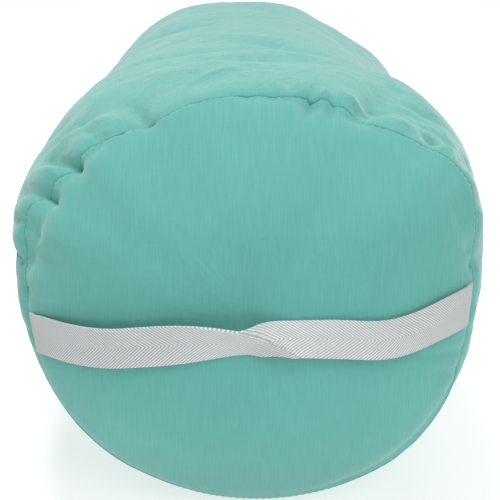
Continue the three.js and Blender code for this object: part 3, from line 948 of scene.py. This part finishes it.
def keep_off(columns, gap):
    """Lifts the strap off the end panel wherever it would touch, then tucks its ends into the seam."""
    panel = bpy.data.objects["cover_front_end"]
    tree = BVHTree.FromObject(panel, bpy.context.evaluated_depsgraph_get())
    needed = []
    for column in columns:
        lift = 0.0
        for vert in column:
            hit = tree.ray_cast(Vector((vert.co.x, -1, vert.co.z)), Vector((0, 1, 0)))[0]
            if hit:
                lift = max(lift, vert.co.y + gap - hit.y)
        needed.append(lift)
    lifts = around_each(around_each(needed, 5, max), 5, lambda near: sum(near) / len(near))
    for index, (column, lift) in enumerate(zip(columns, lifts)):
        share = strap_bow(2 * index / STRAP_STEPS - 1)[1]
        tuck = 5 * MM * max(0, (share - 0.97) / 0.03) ** 1.5
        for vert in column:
            vert.co.y += tuck - lift


def seam_reach(place):
    """1 in the groove of the handle end's seam, less inside it."""
    x, z = place.x / BELLY_WIDE, (place.z - AXIS) / BELLY_HIGH
    outline = SEAM_WIDE / BELLY_WIDE * float(seam_outline(np.array(math.atan2(z, x))))
    groove = 0.975
    return math.hypot(x, z) / (outline * groove)


def to_seam(place, away):
    """How far a point has to move along the strap to lie on the seam."""
    near, far = -25 * MM, 25 * MM
    for _ in range(16):
        middle = (near + far) / 2
        if seam_reach(place + away * middle) < 1:
            near = middle
        else:
            far = middle
    return near


def meet_seam(columns):
    """Lengthens or shortens each row of the strap so that both its ends lie on the seam."""
    steps = STRAP_STEPS // 5
    for side, away in ((0, -HANDLE_ALONG), (STRAP_STEPS, HANDLE_ALONG)):
        for row, end in enumerate(columns[side]):
            short = to_seam(end.co, away)
            for step in range(steps):
                columns[abs(side - step)][row].co += away * short * (1 - step / steps) ** 2


STRAP_STEPS = 240  # columns of faces along the strap
STRAP_HALF = STRAP_WIDE / 2 * 0.973
STRAP_WIDTH = 20 * MM
STRAP_THICK = 1.5 * MM
STRAP_RISE = HANDLE_MIDDLE.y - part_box("handle_strap")[0][1] - STRAP_THICK - 5 * MM
SLACK = 1.12  # cloth along the strap's bow for each length of straight line
# Where the slack strap hangs lower than a straight line: millimetres from its middle, spread and amount.
STRAP_SAGS = ((70, 30, 8.0), (30, 16, 1.0), (-76, 26, 2.4))


def strap_bow(u):
    """How far along its straight line and out from it the strap is, at -1 to 1 from end to end."""
    x = 0.996 * STRAP_HALF * math.sin(u * math.pi / 2)
    share = abs(x) / STRAP_HALF
    return x, share, 0.8 * MM + STRAP_RISE * (1 - share**3)


def strap_sag(x, u, share):
    """How much higher than its straight line the strap's middle runs."""
    sag = (3.6 + 1.6 * u) * MM + 0.5 * MM * math.sin(u * 3.4 + 0.6) * (1 - share**4)
    for at, spread, amount in STRAP_SAGS:
        sag -= amount * MM * math.exp(-(((x / MM - at) / spread) ** 2))
    return sag


def strap_point(u, v, props):
    """A point of the bowed and twisted strap, u from end to end and v from edge to edge."""
    x, share, bow = strap_bow(u)
    kink = math.exp(-(((x - props.kink_at) / (25 * MM)) ** 2))
    lean = smooth((x / MM + 2) / 16) * (1 - 0.5 * smooth((x / MM - 18) / 26)) * (1 - share**8)
    turn = props.kink * kink - props.lean * lean
    across = v * STRAP_WIDTH / 2 * (1 - 0.12 * kink - 0.11 * lean)
    cup = 0.6 * MM * (1 - v * v) * (1 - share**6)
    from_crease = math.hypot(x - 10 * MM + v * 15 * MM, 0.7 * MM)
    crease = (6.0 + 2.2 * v) * MM * math.exp(-from_crease / (9 * MM))
    ripple = 0.5 * MM * noise.noise(Vector((u * 9, v * 1.5, 3.3)))
    out = bow + across * math.sin(turn) + cup + crease + ripple
    up = across * math.cos(turn) + strap_sag(x, u, share)
    return HANDLE_MIDDLE + HANDLE_ALONG * x + HANDLE_OUT * out + HANDLE_UP * up


def handle_strap(props, material):
    """One length of tape from seam to seam, bowed over the end and twisted a little in its middle."""
    bm = bmesh.new()
    bmesh.ops.create_grid(bm, x_segments=STRAP_STEPS, y_segments=14, size=1)
    layer = bm.loops.layers.uv.new("cloth")
    for face in bm.faces:
        for loop in face.loops:
            u, v = loop.vert.co.x, loop.vert.co.y
            loop[layer].uv = (u * STRAP_HALF * SLACK, v * STRAP_WIDTH / 2)
    columns = [[] for _ in range(STRAP_STEPS + 1)]
    for vert in bm.verts:
        u, v = vert.co.x, vert.co.y
        vert.co = strap_point(u, v, props)
        columns[round((u + 1) / 2 * STRAP_STEPS)].append(vert)
    meet_seam(columns)
    keep_off(columns, 0.8 * MM)
    bmesh.ops.recalc_face_normals(bm, faces=bm.faces)
    if sum(face.normal.y for face in bm.faces) > 0:
        bmesh.ops.reverse_faces(bm, faces=bm.faces)
    made = piece("handle_webbing", baked(bm, "handle_webbing"), material, body=None)
    wall = made.modifiers.new("Tape thickness", "SOLIDIFY")
    wall.thickness = STRAP_THICK
    wall.offset = 1
    broken_edges(made, "Selvedge", 0.45 * MM)
    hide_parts("handle_strap", "handle_end_left", "handle_end_right")
    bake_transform(made)


# ---- Zip ---------------------------------------------------------------------------------------------------


def zip_coil(side, name, node, material, pitch):
    """A nylon coil: one tooth for each turn, which reaches past the middle of the zip."""
    low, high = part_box(node)
    turned = Matrix((ZIP_ACROSS, (0, 1, 0), ZIP_OUT)).transposed().to_4x4()
    bm = bmesh.new()
    start = low[1] + (pitch / 2 if side > 0 else 0)
    tooth = bmesh.ops.create_cube(bm, size=1)["verts"]
    for v in tooth:
        v.co.x = side * (1.3 + v.co.x * 3.4) * MM
        v.co.y = v.co.y * pitch * 0.42 + start + pitch / 2
        v.co.z = (v.co.z - 0.25) * MM
    edges = list({edge for v in tooth for edge in v.link_edges})
    bmesh.ops.bevel(bm, geom=edges, offset=0.2 * MM, affect="EDGES", segments=2, profile=0.5, material=-1)
    bmesh.ops.transform(bm, matrix=Matrix.Translation(ZIP_AT) @ turned, verts=bm.verts)
    bmesh.ops.recalc_face_normals(bm, faces=bm.faces)
    made = piece(name, baked(bm, name), material)
    repeated(made, "Turns", int((high[1] - low[1]) / pitch) - 1, pitch)
    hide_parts(node)


def bevelled_copy(node, name, material, body, width):
    """A CAD piece with its edges broken, as a casting or a stamping has them."""
    bm = bmesh.new()
    bm.from_mesh(bpy.data.objects[node].data)
    bmesh.ops.remove_doubles(bm, verts=bm.verts, dist=1e-6)
    bmesh.ops.dissolve_limit(bm, angle_limit=math.radians(2), verts=bm.verts, edges=bm.edges)
    made = piece(name, baked(bm, name), material, body=body, smooth=False)
    broken_edges(made, "Broken edges", width, angle=35)
    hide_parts(node)


# ---- Fill --------------------------------------------------------------------------------------------------


FILL_DEPTH = 15 * MM  # the folds of the cover press the fill in by up to this much
LINER_WALL = 0.8 * MM
WRAP_DEPTH = FILL_DEPTH + 2 * MM
WRAP_WALL = 16 * MM


def layer_profile(depth):
    """(radius, y) rows of a barrel layer inside the cover."""
    share = SEAM_WIDE / BELLY_WIDE
    half = HALF_BARREL - depth
    rows = 14
    rim = []
    for index in range(rows + 1):
        y = half * math.sin(math.pi / 2 * (2 * index / rows - 1))
        along = max(0.0, abs(y) - (half - SHOULDER)) / SHOULDER
        rim.append((share + (1 - share) * math.sqrt(max(0, 1 - along * along)) - depth / BELLY_WIDE, y))
    return rim


def tube(depth, wall):
    """The closed outline of a barrel layer with a wall."""
    outside = layer_profile(depth)
    inside = [(r - wall / BELLY_WIDE, y) for r, y in outside[::-1]]
    return [*outside, *inside, outside[0]]


def liner_disc():
    """The outline of a crowned liner round at the +Y end, from its middle out and back."""
    radius = (SEAM_WIDE - FILL_DEPTH) / BELLY_WIDE
    base = HALF_BARREL - FILL_DEPTH + 1 * MM
    rows = 9
    shares = [math.cos(math.pi / 2 * index / rows) for index in range(rows)] + [0.0]
    outside = [(radius * r, base + CROWN * (1 - r**CROWN_POWER)) for r in shares]
    return outside + [(r * 0.99, y - LINER_WALL) for r, y in outside[::-1]]


def liner_ring():
    """The outline of the liner's seam thread at the +Y end."""
    radius = (SEAM_WIDE - FILL_DEPTH) / BELLY_WIDE
    y = HALF_BARREL - FILL_DEPTH + 0.45 * MM
    turns = [math.tau * i / 8 for i in (*range(8), 0)]
    return [(radius + 0.004 * math.cos(turn), y + 0.4 * MM * math.sin(turn)) for turn in turns]


def fill_piece(profile, name, node, material):
    mesh = baked(spun(profile, 72), name)
    set_coordinates(mesh, settle(coordinates(mesh), front_outline=False))
    made = piece(name, mesh, material)
    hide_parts(node)


def fill_pieces(liner, thread, batting):
    """The liner bag and the outer turns of batting in it."""
    fill_piece(tube(FILL_DEPTH, LINER_WALL), "liner_sleeve", "liner_barrel", liner)
    for label, side in (("rear", 1), ("front", -1)):
        disc = [(r, side * y) for r, y in liner_disc()]
        ring = [(r, side * y) for r, y in liner_ring()]
        fill_piece(disc, f"liner_{label}_round", f"liner_{label}_disc", liner)
        fill_piece(ring, f"liner_{label}_seam", f"liner_{label}_thread", thread)
    wrap = tube(WRAP_DEPTH, WRAP_WALL)
    fill_piece(wrap, "batting_outer_turns", "batting_wrap", batting)


# ---- Properties --------------------------------------------------------------------------------------------


def tint(name, description, colour):
    limits = {"min": 0, "max": 1}
    return FloatVectorProperty(name=name, description=description, subtype="COLOR", default=colour, **limits)


def length(name, description, default, low=0.0):
    return FloatProperty(name=name, description=description, default=default, min=low, unit="LENGTH")


def turn(name, description, degrees):
    return FloatProperty(name=name, description=description, default=math.radians(degrees), subtype="ANGLE")


class BolsterCoverProps(PropertyGroup):
    colour: tint("Cotton", "Colour of the cover's cotton", (0.114, 0.395, 0.350))
    thread: tint("Thread", "Colour of the sewing thread", (0.115, 0.37, 0.335))
    slub: FloatProperty(name="Slub", description="How strongly thick yarns show", default=0.3, min=0, max=1)
    crumple: length("Crumple", "Depth of the cloth's small creases", 2.4 * MM)
    folds: FloatProperty(name="Folds", description="Depth of the folds", default=1.2, min=0, max=2)
    gathers: IntProperty(name="Gathers", description="Gathers round each end seam", default=38, min=0, max=90)
    seam_depth: length("Seam depth", "How far the end seams sink in", 2.4 * MM)
    stitch: length("Stitch", "Length of one stitch", 2.6 * MM, low=1 * MM)


class BolsterHandleProps(PropertyGroup):
    colour: tint("Webbing", "Colour of the cotton tape", (0.64, 0.67, 0.67))
    chevron: length("Chevron", "Pitch of the herringbone", 1.55 * MM, low=0.5 * MM)
    kink: turn("Kink", "Twist in the middle of the strap", 30)
    lean: turn("Lean", "How far the strap leans back beyond the twist", 42)
    kink_at: length("Kink place", "Distance of the twist from the middle", -4 * MM, low=-60 * MM)


class BolsterZipProps(PropertyGroup):
    tape: tint("Tape", "Colour of the zip's tapes", (0.10, 0.34, 0.31))
    coil: tint("Coil", "Colour of the nylon coils", (0.13, 0.40, 0.36))
    metal: tint("Metal", "Colour of the slider and pull", (0.62, 0.62, 0.61))
    pitch: length("Tooth pitch", "Distance between turns of a coil", 1.3 * MM, low=0.8 * MM)


class BolsterFillProps(PropertyGroup):
    liner: tint("Liner", "Colour of the liner's cotton", (0.83, 0.79, 0.70))
    batting: tint("Batting", "Colour of the cotton fill", (0.88, 0.85, 0.78))


class BolsterStageProps(PropertyGroup):
    floor: tint("Floor", "Colour of the studio floor", (0.45, 0.45, 0.45))
    distance: length("Camera distance", "From the camera to the handle end's seam", 0.85)
    height: length("Camera height", "Over the middle of the bolster", 0.215)
    pitch: turn("Camera pitch", "How far the camera looks down", 12.45)
    lens: FloatProperty(name="Lens", description="Focal length in millimetres", default=123.0, min=10)


# ---- Operators ---------------------------------------------------------------------------------------------


class BOLSTER_OT_cover(Operator):
    """Make the barrel and end panels of the cover, with their seams"""

    bl_idname = "bolster.cover"
    bl_label = "Cover"

    def execute(self, context):
        props = context.scene.bolster_cover
        form = cover_form()
        tuck_slit(form)
        inflate(form)
        whole = subdivided(form)
        finish_cloth(whole, props)
        barrel = cotton("cover cotton barrel", props.colour, props.slub, props.crumple)
        panel = cotton("cover cotton panel", props.colour, props.slub, props.crumple / 9)
        cloth_piece(whole, BARREL, "cover_barrel", "barrel_panel", barrel)
        cloth_piece(whole, FRONT, "cover_front_end", "front_end_panel", panel)
        cloth_piece(whole, REAR, "cover_rear_end", "rear_end_panel", panel)
        thread = thread_cotton("cover thread", props.thread)
        ends = ((-1, "front"), (1, "rear"))
        for sign, end in ends:
            seam_stitches(whole, sign, f"{end}_seam_stitches", f"{end}_seam_thread", thread, props.stitch)
        for sign, end in ends:
            node = f"barrel_closing_thread_{end}"
            closing_stitches(whole, sign, f"closing_stitches_{end}", node, thread, props.stitch)
        bpy.data.meshes.remove(whole)
        return {"FINISHED"}


class BOLSTER_OT_handle(Operator):
    """Make the webbing handle across the end"""

    bl_idname = "bolster.handle"
    bl_label = "Handle"

    def execute(self, context):
        props = context.scene.bolster_handle
        handle_strap(props, herringbone("white webbing", props.colour, props.chevron))
        return {"FINISHED"}


class BOLSTER_OT_zip(Operator):
    """Make the zip's coils, slider, pull, stops and stitching"""

    bl_idname = "bolster.zip"
    bl_label = "Zip"

    def execute(self, context):
        props = context.scene.bolster_zip
        cover = context.scene.bolster_cover
        tape = tape_weave("zip tape", props.tape)
        coil = nylon("zip nylon", props.coil)
        metal = nickel("zip nickel", props.metal)
        thread = thread_cotton("zip thread", cover.thread)
        for side, label in ((-1, "lower"), (1, "upper")):
            paint(bpy.data.objects[f"zip_tape_{label}"].data, tape)
            zip_coil(side, f"nylon_coil_{label}", f"zip_coil_{label}", coil, props.pitch)
            zip_stitches(f"zip_topstitch_{label}", f"zip_stitch_{label}", thread, side, cover.stitch)
        bevelled_copy("zip_slider", "slider_casting", metal, "zip_slider_body", 0.15 * MM)
        bevelled_copy("zip_pull", "pull_casting", metal, "zip_pull_body", 0.18 * MM)
        for end in ("front", "rear"):
            bevelled_copy(f"zip_stop_{end}", f"stop_staple_{end}", metal, BODY, 0.3 * MM)
        return {"FINISHED"}


class BOLSTER_OT_fill(Operator):
    """Make the liner bag and the batting inside the cover"""

    bl_idname = "bolster.fill"
    bl_label = "Fill"

    def execute(self, context):
        props = context.scene.bolster_fill
        batting = batt("cotton batting", props.batting)
        liner = tape_weave("liner cotton", props.liner)
        fill_pieces(liner, thread_cotton("liner thread", props.liner), batting)
        paint(bpy.data.objects["batting_core"].data, batting)
        return {"FINISHED"}


# Soft lamps of the studio: name, place, what each points at, size in metres and power in watts.
LAMPS = (
    ("key", (-0.25, -0.25, 2.1), (0, -0.1, 0.1), 0.6, 27),
    ("front fill", (0.9, -2.6, 1.5), (0, -0.3, 0.1), 1.6, 28),
    ("back", (0.2, 2.7, 2.0), (0, 0.1, 0.1), 1.8, 26),
)


class BOLSTER_OT_stage(Operator):
    """Set up the pale floor, the soft lights and the camera"""

    bl_idname = "bolster.stage"
    bl_label = "Studio"

    def execute(self, context):
        props = context.scene.bolster_stage
        studio_floor(props.floor)
        for lamp in LAMPS:
            studio_light(*lamp)
        studio_world()
        studio_camera(props)
        return {"FINISHED"}


def studio_floor(colour):
    bm = bmesh.new()
    bmesh.ops.create_grid(bm, x_segments=1, y_segments=1, size=12)
    bmesh.ops.translate(bm, verts=bm.verts, vec=(0, 0, -0.5 * MM))
    sheet = plain_floor("studio floor", colour)
    piece("studio_floor", baked(bm, "studio_floor"), sheet, body=None, smooth=False)


def studio_light(name, at, towards, size, power):
    light = bpy.data.lights.new(name, "AREA")
    light.shape = "DISK"
    light.size = size
    light.energy = power
    made = linked(name, light)
    made.location = at
    made.rotation_euler = (Vector(towards) - Vector(at)).to_track_quat("-Z", "Y").to_euler()


def studio_world():
    world = bpy.data.worlds.new("studio")
    world.use_nodes = True
    background = world.node_tree.nodes["Background"]
    background.inputs["Color"].default_value = (1, 1, 1, 1)
    background.inputs["Strength"].default_value = 0.46
    bpy.context.scene.world = world
    bpy.context.scene.view_settings.view_transform = "Standard"


def studio_camera(props):
    """Looks down a little on the handle end, from straight in front of it."""
    lens = bpy.data.cameras.new("camera")
    lens.lens = props.lens
    lens.sensor_width = 36
    camera = linked("camera", lens)
    camera.location = (0, -HALF_BARREL - props.distance, AXIS + props.height)
    camera.rotation_euler = (math.pi / 2 - props.pitch, 0, 0)
    bpy.context.scene.camera = camera


class BOLSTER_PT_panel(Panel):
    bl_idname = "BOLSTER_PT_panel"
    bl_label = "Round bolster"
    bl_space_type = "VIEW_3D"
    bl_region_type = "UI"
    bl_category = "Bolster"

    def draw(self, context):
        for group, _, operator in GROUPS:
            box = self.layout.box()
            props = getattr(context.scene, f"bolster_{group}")
            for name in props.__annotations__:
                box.prop(props, name)
            box.operator(operator.bl_idname)


GROUPS = (
    ("stage", BolsterStageProps, BOLSTER_OT_stage),
    ("cover", BolsterCoverProps, BOLSTER_OT_cover),
    ("handle", BolsterHandleProps, BOLSTER_OT_handle),
    ("zip", BolsterZipProps, BOLSTER_OT_zip),
    ("fill", BolsterFillProps, BOLSTER_OT_fill),
)
CLASSES = (*(cls for _, *pair in GROUPS for cls in pair), BOLSTER_PT_panel)


def register():
    for cls in CLASSES:
        bpy.utils.register_class(cls)
    for group, props, _ in GROUPS:
        setattr(bpy.types.Scene, f"bolster_{group}", PointerProperty(type=props))


def unregister():
    for group, _, _ in GROUPS:
        delattr(bpy.types.Scene, f"bolster_{group}")
    for cls in reversed(CLASSES):
        bpy.utils.unregister_class(cls)


def main():
    register()
    bpy.ops.bolster.stage()
    bpy.ops.bolster.cover()
    bpy.ops.bolster.handle()
    bpy.ops.bolster.zip()
    bpy.ops.bolster.fill()


if __name__ == "__main__":
    main()
